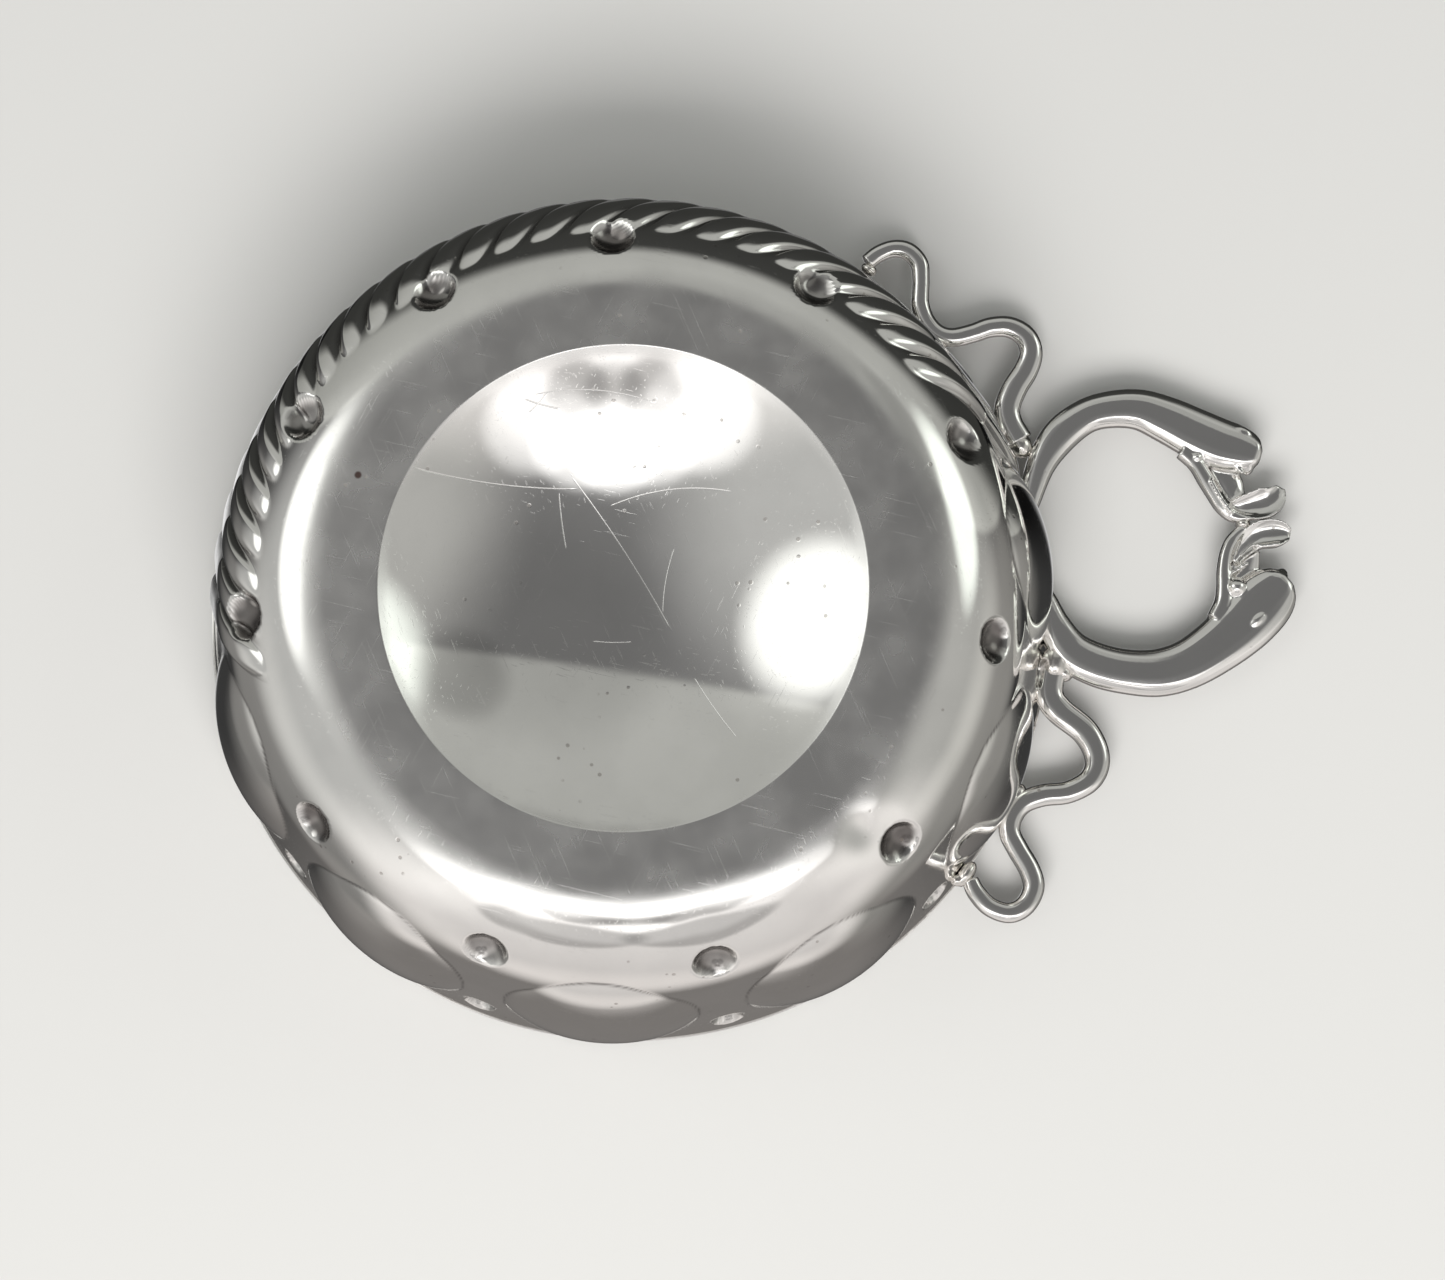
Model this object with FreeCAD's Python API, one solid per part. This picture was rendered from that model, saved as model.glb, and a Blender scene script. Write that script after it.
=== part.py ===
"""Wine taster's cup: a shallow raised silver bowl with a ring handle of two facing serpents.

Millimetres and degrees. +Z is up with the open mouth on top. The origin is on the bowl's axis in the plane
that the cup stands on, and +X runs along the middle of the handle. The round bosses face +Y and the slanting
flutes face -Y. Angles are counted from +X towards +Y.
"""
import FreeCAD
import Part
import math
import os

V = FreeCAD.Vector

# ------------------------------------------------------------------ bowl, driving dimensions
wall = 0.9                    # thickness of the raised sheet
height = 26.0                 # from the standing plane to the lip
foot_radius = 28.2            # outer edge of the flat ring that the cup stands on
shoulder_radius = 10.7        # bend between the foot and the side wall
wall_angle = 79.5             # rise of the side wall above the horizontal
lip_flare = 0.5               # how far the lip turns out of the side wall
lip_height = 2.6              # height of the flared lip
dome_radius = 23.3            # edge of the raised dome in the middle of the floor
dome_rise = 5.5               # crown of the dome's underside above the standing plane
dome_edge_round = 0.5         # rounding of the sheet where the dome leaves the foot

sectors = 11                  # sectors round the wall, with a bead between each two
boss_count = 6                # sectors that carry a boss
boss_width = 19.4
boss_height = 19.5
boss_bulge = 1.8              # how far a boss stands out of the side wall
boss_middle = 17.2            # height of a boss's centre above the standing plane
boss_clear = 5.0              # bosses are raised only this far outside the foot's edge
bead_opening = 4.5            # width of a bead's hollow on the outside
bead_depth = 1.35
bead_slope = 43.0             # the beads sit where the shoulder rises at this slope
pinch_opening = 3.8           # small hollows under the lip, between two bosses
pinch_depth = 1.0
pinch_drop = 3.4              # middle of the small hollows below the lip

flute_count = 26              # the flutes fill the sectors that carry no boss
flute_depth = 0.6             # from a flute's crest to the groove beside it
flute_rise = 0.2              # grooves above the plain wall
flute_lean = 13.0             # turn of a flute round the axis over the whole height
flute_foot = 7.6              # lower end of a flute's straight part
flute_head = 22.2             # upper end of a flute's straight part

# ------------------------------------------------------------------ handle, driving dimensions
handle_drop = 2.0             # middle plane of the handle below the lip
arm_thickness = 3.3           # ring arms, vertical
tail_thickness = 2.4          # tails, vertical
filed_angle = 38.0            # half of the round section's arc that is filed flat underneath
ring_reach = 10.3             # bowl's lip to the middle of the ring's widest point
ring_half_width = 13.7        # handle's middle line to the middle of the band at its widest
head_reach = 22.2             # bowl's lip to the middle of the serpent's skull
solder_rise = 1.5             # height of a solder lump, in its own radii
solder_seam = 210.0           # turn of a solder lump's seam line, which keeps it clear of the strands

# ------------------------------------------------------------------ values that follow
SECTOR = 360.0 / sectors
shoulder_top_radius = foot_radius + shoulder_radius * math.sin(math.radians(wall_angle))
shoulder_top = shoulder_radius * (1 - math.cos(math.radians(wall_angle)))
dome_curve = (dome_radius ** 2 + dome_rise ** 2) / (2 * dome_rise)
handle_level = height - handle_drop
rim_radius = shoulder_top_radius + (height - shoulder_top) / math.tan(math.radians(wall_angle)) + lip_flare
flute_sector = 360.0 - boss_count * SECTOR
flute_pitch = flute_sector / flute_count
ABOVE = 6.0                   # forms run this far past the lip before they are cut level


# ------------------------------------------------------------------ helpers
def polar(radius, angle, z=0.0):
    """Point at that radius and angle about the bowl's axis."""
    a = math.radians(angle)
    return V(radius * math.cos(a), radius * math.sin(a), z)


def wall_point(angle, z, depth=0.0):
    """Point of the straight side wall at that height, moved inwards square to the wall."""
    a = math.radians(wall_angle)
    radius = shoulder_top_radius + (z - shoulder_top) / math.tan(a)
    return polar(radius - depth * math.sin(a), angle, z + depth * math.cos(a))


def shoulder_point(angle, slope, out=0.0):
    """Point of the shoulder bend where it rises at that slope, moved outwards square to it."""
    a = math.radians(slope)
    reach = shoulder_radius + out
    return polar(foot_radius + reach * math.sin(a), angle, shoulder_radius - reach * math.cos(a))


def sphere_over(opening, depth):
    """Radius of a sphere whose cap has that opening and depth."""
    return (opening ** 2 / 4 + depth ** 2) / (2 * depth)


def ball(centre, radius):
    """Sphere about a point."""
    return Part.makeSphere(radius, centre)


# ------------------------------------------------------------------ bowl
def plain_form(inset):
    """The cup before any boss or flute is raised, as a solid filled to above the lip.

    With an inset of 0 it ends at the outside of the sheet, and with the wall's thickness at the inside.
    """
    crown = V(0, 0, dome_rise + inset)
    dome_centre = dome_rise - dome_curve
    edge_z = inset
    edge_r = math.sqrt((dome_curve + inset) ** 2 - (edge_z - dome_centre) ** 2)
    mid_z = dome_centre + math.sqrt((dome_curve + inset) ** 2 - edge_r ** 2 / 4)
    bend = shoulder_radius - inset
    foot = V(foot_radius, 0, inset)
    bend_middle = shoulder_point(0, wall_angle / 2, -inset)
    bend_top = shoulder_point(0, wall_angle, -inset)
    lip_foot = wall_point(0, height - lip_height, inset)
    lip = V(rim_radius - inset, 0, height)
    lip_middle = (lip_foot + lip) * 0.5 - V(lip_flare / 4, 0, 0)
    top = lip + V(0, 0, ABOVE)
    edges = [
        Part.Arc(crown, V(edge_r / 2, 0, mid_z), V(edge_r, 0, edge_z)).toShape(),
        Part.makeLine(V(edge_r, 0, edge_z), foot),
        Part.Arc(foot, bend_middle, bend_top).toShape(),
        Part.makeLine(bend_top, lip_foot),
        Part.Arc(lip_foot, lip_middle, lip).toShape(),
        Part.makeLine(lip, top),
        Part.makeLine(top, V(0, 0, top.z)),
        Part.makeLine(V(0, 0, top.z), crown),
    ]
    form = Part.Face(Part.Wire(edges)).revolve(V(0, 0, 0), V(0, 0, 1), 360)
    creases = [e for e in form.Edges
               if abs(e.BoundBox.ZMax - edge_z) < 1e-3 and abs(e.BoundBox.XMax - edge_r) < 1e-2]
    return form.makeFillet(dome_edge_round + inset, creases)


def raised_bar(ends, radius):
    """Round bar with ball ends, laid in the side wall so that one side of it stands out."""
    run = ends[1] - ends[0]
    bar = Part.makeCylinder(radius, run.Length, ends[0], run)
    return bar.multiFuse([ball(end, radius) for end in ends])


def boss(index, inset):
    """Upright bar that comes out of the side wall over the boss's width and height."""
    sagitta = (boss_width / 2) ** 2 / (2 * wall_point(0, boss_middle).x)
    radius = sphere_over(boss_width, boss_bulge + sagitta)
    ball_reach = math.sqrt(radius ** 2 - (radius - boss_bulge) ** 2)
    straight = (boss_height / 2 - ball_reach) * math.sin(math.radians(wall_angle))
    ends = [wall_point(index * SECTOR, boss_middle + way * straight, radius - boss_bulge) for way in (-1, 1)]
    core = Part.makeCylinder(foot_radius + boss_clear, height + ABOVE, V(0, 0, -ABOVE))
    return raised_bar(ends, radius - inset).cut(core)


def flute(index, inset):
    """Slim bar that leans round the side wall."""
    middle = boss_count * SECTOR - SECTOR / 2 + (index + 0.5) * flute_pitch
    radius = sphere_over(rim_radius * math.radians(flute_pitch), flute_depth)
    depth = radius - flute_depth - flute_rise + inset
    ends = [wall_point(middle + flute_lean * (z / height - 0.5), z, depth) for z in (flute_foot, flute_head)]
    return raised_bar(ends, radius)


def hollows(inset):
    """Balls whose caps are the beads on the shoulder and the small hollows under the lip."""
    radius = sphere_over(bead_opening, bead_depth)
    balls = [ball(shoulder_point((i + 0.5) * SECTOR, bead_slope, radius - bead_depth), radius + inset)
             for i in range(sectors)]
    radius = sphere_over(pinch_opening, pinch_depth)
    balls += [ball(wall_point((i - 0.5) * SECTOR, height - pinch_drop, pinch_depth - radius), radius + inset)
              for i in range(boss_count)]
    return balls


def raised_form(inset):
    """The plain form with every boss and flute raised, and every bead and hollow sunk."""
    raised = [boss(i, inset) for i in range(boss_count)]
    raised += [flute(i, inset) for i in range(flute_count)]
    return plain_form(inset).multiFuse(raised).cut(hollows(inset))


def level(form):
    """Cut a form off at the lip."""
    return form.common(Part.makeCylinder(2 * rim_radius, height))


# ------------------------------------------------------------------ handle
STATION_STEP = 1.9            # greatest distance between the sections of a strand


def share_value(pairs, share):
    """Value at a share of the length, running straight from one pair to the next."""
    for (s0, v0), (s1, v1) in zip(pairs, pairs[1:]):
        if share <= s1:
            return v0 + (v1 - v0) * (share - s0) / (s1 - s0)
    return pairs[-1][1]


def strand_section(origin, across, up):
    """D-shaped section: a round over a flat filed underneath, with the origin in the middle of the flat."""
    filed = math.radians(filed_angle)
    middle = math.cos(filed)
    turns = [filed - math.pi / 2 + k * (math.pi - filed) / 3 for k in range(7)]
    points = [origin + across * math.cos(t) + up * (middle + math.sin(t)) for t in turns]
    round_part = Part.BSplineCurve()
    round_part.interpolate(points)
    return Part.Wire([round_part.toShape(), Part.makeLine(points[-1], points[0])])


def strand(points, widths, thickness, underside):
    """Cast strand along a smooth line: round on top and at the sides, filed flat underneath."""
    line = Part.BSplineCurve()
    line.interpolate(points)
    half_up = thickness / (1 + math.cos(math.radians(filed_angle)))
    steps = math.ceil(line.length() / STATION_STEP)
    sections = []
    for k in range(steps + 1):
        share = k / steps
        at = line.parameterAtDistance(share * line.length(), line.FirstParameter)
        along = line.tangent(at)[0]
        half_width = share_value(widths, share) / 2
        squat = min(1.0, 0.35 + 0.65 * half_width / half_up)
        sections.append(strand_section(line.value(at) + V(0, 0, underside),
                                       V(along.y, -along.x, 0) * half_width, V(0, 0, half_up * squat)))
    return Part.makeLoft(sections, True, False)


def mirrored(shape):
    """The same piece on the other side of the handle's middle plane."""
    return shape.mirror(V(0, 0, 0), V(0, 1, 0))


def arm():
    """One serpent's neck and head: half of the ring with the skull, the lower jaw and the curled tongue."""
    underside = handle_level - arm_thickness / 2
    x0 = rim_radius
    top = ring_half_width
    neck_line = [(x0 - 0.4, 4.4), (x0 + 0.6, 8.6), (x0 + 3.4, top - 1.9), (x0 + ring_reach - 1.0, top),
                 (x0 + ring_reach + 3.8, top - 0.8), (x0 + head_reach - 4.2, top - 3.5),
                 (x0 + head_reach - 0.6, top - 5.4), (x0 + head_reach + 2.2, top - 7.0)]
    neck = strand([V(x, y, 0) for x, y in neck_line],
                  [(0, 2.6), (0.3, 3.3), (0.55, 4.0), (0.75, 5.2), (0.9, 5.2), (0.96, 3.9), (1, 1.2)],
                  arm_thickness, underside)
    jaw_line = [(x0 + 16.4, 9.3), (x0 + 17.7, 6.6), (x0 + 18.4, 4.0), (x0 + 19.4, 1.7),
                (x0 + 21.2, 1.2), (x0 + 23.2, 1.9), (x0 + 24.6, 2.4)]
    jaw = strand([V(x, y, 0) for x, y in jaw_line],
                 [(0, 2.2), (0.3, 2.0), (0.55, 1.7), (0.72, 2.4), (0.86, 2.4), (1, 0.7)],
                 arm_thickness * 0.85, underside)
    tooth = ball(V(x0 + 18.6, 6.5, underside + 1.0), 1.0)
    return neck.fuse(jaw.fuse(tooth))


def tail():
    """One serpent's tail: a wave that springs from the ring's root and dips twice to the lip."""
    lip = rim_radius
    waves = [(lip - 0.4, 13.0), (lip + 1.3, 17.6), (lip + 4.2, 20.6), (lip + 6.6, 24.2), (lip + 6.3, 28.4),
             (lip + 2.6, 31.8), (lip + 0.7, 35.6), (lip + 2.4, 39.4), (lip + 5.1, 42.0), (lip + 4.9, 46.0),
             (lip + 2.2, 47.9), (lip - 0.3, 47.1)]
    return strand([polar(r, a) for r, a in waves], [(0, 2.9), (0.25, 2.7), (0.5, 2.2), (0.8, 1.8), (1, 1.5)],
                  tail_thickness, handle_level - tail_thickness / 2)


def solder(outwards, angle, radius):
    """Round lump of solder beside the lip, before its neighbours are cut out of it."""
    rise = solder_rise * radius
    foot = polar(rim_radius + outwards, angle, handle_level - rise / 2)
    lump = Part.makeCylinder(radius, rise, foot)
    lump.rotate(foot, V(0, 0, 1), solder_seam)
    return lump


# ------------------------------------------------------------------ pieces
def main_solid(shape):
    """The largest solid of a shape that a cut may have left in several."""
    return max(shape.Solids, key=lambda solid: solid.Volume)


outside = level(raised_form(0.0))
bowl = outside.cut(raised_form(wall))

handle_zone = Part.makeBox(rim_radius, 2 * rim_radius, 2 * arm_thickness,
                           V(rim_radius / 2, -rim_radius, handle_level - arm_thickness))
lip_wall = bowl.common(handle_zone)

arms = [arm(), mirrored(arm())]
tails = [tail(), mirrored(tail())]
arm_left, arm_right = [main_solid(piece.cut(lip_wall)) for piece in arms]
tail_left, tail_right = [main_solid(piece.cut([lip_wall, own_arm])) for piece, own_arm in zip(tails, arms)]


def solder_joints(lump):
    """The lump and its mirror image, fitted to the lip and the strands."""
    return Part.makeCompound([main_solid(side.cut(arms + tails).cut(lip_wall)) for side in (lump, mirrored(lump))])


pieces = {
    "bowl": bowl,
    "serpent_arm_left": arm_left,
    "serpent_arm_right": arm_right,
    "tail_left": tail_left,
    "tail_right": tail_right,
    "ring_root_solder": solder_joints(solder(1.9, 15.2, 1.45)),
    "tail_bend_solder": solder_joints(solder(0.2, 37.0, 1.1)),
    "tail_tip_solder": solder_joints(solder(0.5, 46.2, 1.1)),
    "jaw_solder": main_solid(solder(20.2, 0.0, 1.2).cut(arms)),
}

os.makedirs("parts", exist_ok=True)
for name, shape in pieces.items():
    shape.exportStep("parts/" + name + ".step")
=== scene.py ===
"""Looks for the wine taster's cup: polished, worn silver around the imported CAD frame."""
import math

import bpy
import numpy as np
from mathutils import Matrix, Vector


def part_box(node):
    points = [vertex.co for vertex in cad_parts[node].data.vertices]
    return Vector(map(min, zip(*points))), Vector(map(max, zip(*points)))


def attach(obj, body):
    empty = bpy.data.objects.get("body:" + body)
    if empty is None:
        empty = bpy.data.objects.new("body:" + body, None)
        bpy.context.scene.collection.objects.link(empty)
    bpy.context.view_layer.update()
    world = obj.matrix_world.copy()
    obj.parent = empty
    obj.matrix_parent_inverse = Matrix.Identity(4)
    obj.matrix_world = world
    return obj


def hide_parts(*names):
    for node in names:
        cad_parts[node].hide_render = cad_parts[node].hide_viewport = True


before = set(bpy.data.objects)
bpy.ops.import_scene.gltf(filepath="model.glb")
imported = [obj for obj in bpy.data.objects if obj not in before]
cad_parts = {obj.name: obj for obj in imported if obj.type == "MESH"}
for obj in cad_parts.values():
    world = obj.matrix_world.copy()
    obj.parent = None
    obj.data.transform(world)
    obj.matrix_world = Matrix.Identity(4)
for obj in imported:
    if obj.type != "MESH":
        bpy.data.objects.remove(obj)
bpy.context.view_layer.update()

MM = 0.001
DOME_RADIUS = 23.3            # the dome in the middle of the cup's floor, mm
DOME_RISE = 5.5
HANDLE_TURN = -9.45           # the handle's direction in the picture, degrees below its horizontal
CAMERA_PITCH = -7.087         # the camera's lean about the picture's horizontal, degrees
CAMERA_ROLL = 0.239           # and about its vertical
CAMERA_SHIFT = Vector((-9.432, -5.072, 400.0))   # the origin seen from the camera: right, down, forward, mm
CAMERA_LENS = 105.26          # on a sensor 36 mm wide


def add_camera():
    """Camera that looks at the cup's underside; returns its right, down and forward directions."""
    turn = (Matrix.Rotation(math.radians(CAMERA_PITCH), 3, "X")
            @ Matrix.Rotation(math.radians(CAMERA_ROLL), 3, "Y")
            @ Matrix.Rotation(math.radians(HANDLE_TURN), 3, "Z"))
    right, down, forward = turn[0], turn[1], turn[2]
    matrix = Matrix((right, -down, -forward)).transposed().to_4x4()
    matrix.translation = -(turn.transposed() @ CAMERA_SHIFT) * MM
    data = bpy.data.cameras.new("camera")
    data.lens = CAMERA_LENS
    data.sensor_width = 36.0
    data.clip_start = 0.01
    camera = bpy.data.objects.new("camera", data)
    camera.matrix_world = matrix
    bpy.context.scene.collection.objects.link(camera)
    bpy.context.scene.camera = camera
    return right, down, forward


RIGHT, DOWN, FORWARD = add_camera()


def shader_nodes(name):
    """New material without nodes; returns the material, its node list and a linking function."""
    material = bpy.data.materials.new(name)
    material.use_nodes = True
    tree = material.node_tree
    tree.nodes.clear()
    return material, tree.nodes, tree.links.new


STAGE_GREY = (0.62, 0.62, 0.61, 1)
STAGE_REACH = 3.0             # metres from the middle to each side
STAGE_GAP = 0.0001            # metres between a plane and the cup


def one_sided_stage(name, height, faces_up):
    """Level plane seen from one side and only by the camera: the silver mirrors the studio instead."""
    material, nodes, link = shader_nodes(name)
    output = nodes.new("ShaderNodeOutputMaterial")
    diffuse = nodes.new("ShaderNodeBsdfDiffuse")
    diffuse.inputs["Color"].default_value = STAGE_GREY
    clear = nodes.new("ShaderNodeBsdfTransparent")
    side = nodes.new("ShaderNodeNewGeometry")
    path = nodes.new("ShaderNodeLightPath")
    shown = nodes.new("ShaderNodeMath")
    shown.operation = "SUBTRACT"
    shown.use_clamp = True
    link(path.outputs["Is Camera Ray"], shown.inputs[0])
    link(side.outputs["Backfacing"], shown.inputs[1])
    mix = nodes.new("ShaderNodeMixShader")
    link(shown.outputs[0], mix.inputs["Fac"])
    link(clear.outputs[0], mix.inputs[1])
    link(diffuse.outputs[0], mix.inputs[2])
    link(mix.outputs[0], output.inputs["Surface"])
    corners = [(x * STAGE_REACH, y * STAGE_REACH, height) for x, y in ((-1, -1), (1, -1), (1, 1), (-1, 1))]
    mesh = bpy.data.meshes.new(name)
    mesh.from_pydata(corners if faces_up else corners[::-1], [], [(0, 1, 2, 3)])
    mesh.materials.append(material)
    plane = bpy.data.objects.new(name, mesh)
    bpy.context.scene.collection.objects.link(plane)


one_sided_stage("floor", -STAGE_GAP, True)
one_sided_stage("table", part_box("bowl")[1][2] + STAGE_GAP, False)


def way_to(off_axis, picture_angle):
    """Direction that stands off_axis degrees from the camera's line, towards that angle of the picture.

    The picture's angles run from 0 at the right to 90 at the bottom.
    """
    a, b = math.radians(off_axis), math.radians(picture_angle)
    return -FORWARD * math.cos(a) + (RIGHT * math.cos(b) + DOWN * math.sin(b)) * math.sin(a)


# soft panels: degrees off axis, picture angle, full within and gone beyond these degrees, brightness, tint
PANELS = [
    (15, 90, 7, 11, 0.80, (1.0, 1.0, 1.0)),
    (17, 66, 7, 11, 0.50, (1.0, 1.0, 1.0)),
    (18, 114, 7, 11, 0.50, (1.0, 1.0, 1.0)),
    (25, 50, 7, 12, 0.45, (1.0, 1.0, 1.0)),
    (27, 130, 8, 13, 0.50, (1.0, 1.0, 1.0)),
    (29, 92, 20, 27, 0.26, (1.0, 1.0, 1.0)),
    (35, 90, 3, 7, 0.35, (1.0, 1.0, 1.0)),
    (70, 88, 40, 66, 0.56, (1.0, 0.96, 0.94)),
    (132, 92, 24, 48, 0.16, (1.0, 0.93, 0.88)),
    (46, 207, 9, 18, 0.95, (0.98, 1.0, 0.97)),
    (52, 172, 20, 52, 0.32, (0.99, 1.0, 0.97)),
    (59, 333, 8, 17, 0.80, (0.92, 1.0, 0.93)),
    (95, 278, 64, 66, 0.27, (0.98, 1.0, 0.93)),
    (58, 5, 16, 44, 0.26, (1.0, 1.0, 0.94)),
    (102, 160, 20, 50, 0.18, (1.0, 0.98, 0.94)),
    (104, 18, 16, 46, 0.22, (1.0, 0.98, 0.92)),
    (166, 270, 12, 22, 1.0, (1.0, 1.0, 1.0)),
]
# dark flags before the panels: the same four angles, and the share of light that each takes away
FLAGS = [
    (26, 90, 4, 7, 0.32),
    (27, 74, 4, 8, 0.45),
    (27, 106, 4, 8, 0.45),
    (48, 76, 10, 14, 0.40),
    (48, 104, 10, 14, 0.40),
    (44, 314, 5, 11, 0.30),
    (122, 280, 46, 60, 0.88),
    (26, 300, 10, 28, 0.20),
]
# the room is brightest behind the camera: full within and gone beyond these degrees, least and most light
ROOM_LIGHT = (30, 120, 0.04, 0.19)
BACKDROP = (0.8, 0.8, 0.79, 1)        # what the camera itself sees round the object


def studio_world():
    """Pale backdrop for the camera; for all other rays a dim room with soft panels and dark flags."""
    world = bpy.data.worlds.new("studio")
    bpy.context.scene.world = world
    world.use_nodes = True
    nodes = world.node_tree.nodes
    link = world.node_tree.links.new
    nodes.clear()
    output = nodes.new("ShaderNodeOutputWorld")
    path = nodes.new("ShaderNodeLightPath")
    place = nodes.new("ShaderNodeTexCoord")

    def patch(direction, inside, outside, low, high):
        """A value that runs from low outside the cone round a direction to high within it."""
        dot = nodes.new("ShaderNodeVectorMath")
        dot.operation = "DOT_PRODUCT"
        link(place.outputs["Generated"], dot.inputs[0])
        dot.inputs[1].default_value = direction
        ramp = nodes.new("ShaderNodeMapRange")
        ramp.interpolation_type = "SMOOTHSTEP"
        link(dot.outputs["Value"], ramp.inputs["Value"])
        ramp.inputs["From Min"].default_value = math.cos(math.radians(outside))
        ramp.inputs["From Max"].default_value = math.cos(math.radians(inside))
        ramp.inputs["To Min"].default_value = low
        ramp.inputs["To Max"].default_value = high
        return ramp.outputs["Result"]

    def scaled(vector, factor):
        """A tint or another node's output times the value of a node."""
        scale = nodes.new("ShaderNodeVectorMath")
        scale.operation = "SCALE"
        if isinstance(vector, tuple):
            scale.inputs[0].default_value = vector
        else:
            link(vector, scale.inputs[0])
        link(factor, scale.inputs["Scale"])
        return scale.outputs["Vector"]

    total = scaled((1.0, 1.0, 1.0), patch(-FORWARD, *ROOM_LIGHT))
    for off, turn, inside, outside, bright, tint in PANELS:
        add = nodes.new("ShaderNodeVectorMath")
        add.operation = "ADD"
        link(total, add.inputs[0])
        link(scaled(tint, patch(way_to(off, turn), inside, outside, 0.0, bright)), add.inputs[1])
        total = add.outputs["Vector"]
    for off, turn, inside, outside, dark in FLAGS:
        total = scaled(total, patch(way_to(off, turn), inside, outside, 1.0, 1.0 - dark))
    backdrop = nodes.new("ShaderNodeBackground")
    backdrop.inputs["Color"].default_value = BACKDROP
    room = nodes.new("ShaderNodeBackground")
    link(total, room.inputs["Color"])
    mix = nodes.new("ShaderNodeMixShader")
    link(path.outputs["Is Camera Ray"], mix.inputs["Fac"])
    link(room.outputs[0], mix.inputs[1])
    link(backdrop.outputs[0], mix.inputs[2])
    link(mix.outputs[0], output.inputs["Surface"])


def softbox(name, off_axis, picture_angle, distance, size, power, colour):
    """Area light that faces the cup and has no reflection; distance and size in metres, power in watts."""
    way = way_to(off_axis, picture_angle)
    data = bpy.data.lights.new(name, "AREA")
    data.shape = "RECTANGLE"
    data.size, data.size_y = size
    data.energy = power
    data.color = colour
    light = bpy.data.objects.new(name, data)
    light.matrix_world = way.to_track_quat("Z", "Y").to_matrix().to_4x4()
    light.location = way * distance
    light.visible_glossy = False
    bpy.context.scene.collection.objects.link(light)


bpy.context.scene.view_settings.view_transform = "Standard"
studio_world()
softbox("low_light", 38, 90, 0.9, (0.8, 0.4), 9, (1.0, 0.98, 0.96))
softbox("top_light", 150, -60, 1.0, (0.6, 0.6), 6, (1.0, 1.0, 1.0))


SCRATCH_BAND = (0.025, 0.035, 0.06)   # noise above a scratch's start: full between two, gone at the third


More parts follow.
